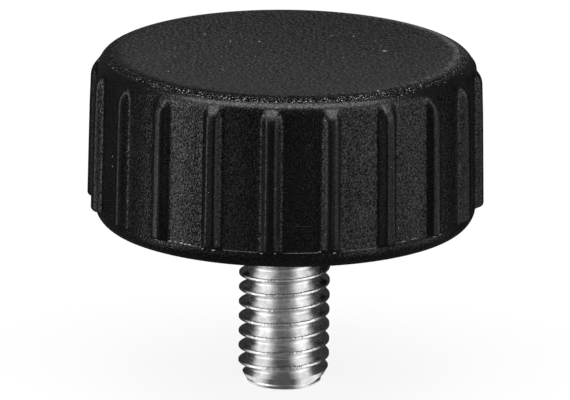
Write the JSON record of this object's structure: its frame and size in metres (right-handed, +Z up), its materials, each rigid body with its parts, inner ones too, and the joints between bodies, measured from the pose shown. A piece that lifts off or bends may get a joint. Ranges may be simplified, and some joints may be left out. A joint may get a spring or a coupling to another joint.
{
  "type": "knurled knob",
  "caption": "Round black plastic knob with a ribbed wall and a shallow dished top, moulded onto a steel threaded stud, for turning and clamping by hand.",
  "frame": {"origin": "on the stud's axis, where the stud leaves the hub's seating face", "axes": "+Z up the knob's axis towards the dished top, the stud points along -Z, one rib lies on +X"},
  "size_m": [0.0262, 0.0262, 0.0224],
  "materials": {
    "grip_plastic": "black moulded plastic with a fine spark-eroded grain",
    "stud_steel": "plain bright steel, thread rolled"
  },
  "bodies": {
    "root": {"knob_grip": "grip_plastic", "threaded_stud": "stud_steel"}
  },
  "joints": []
}
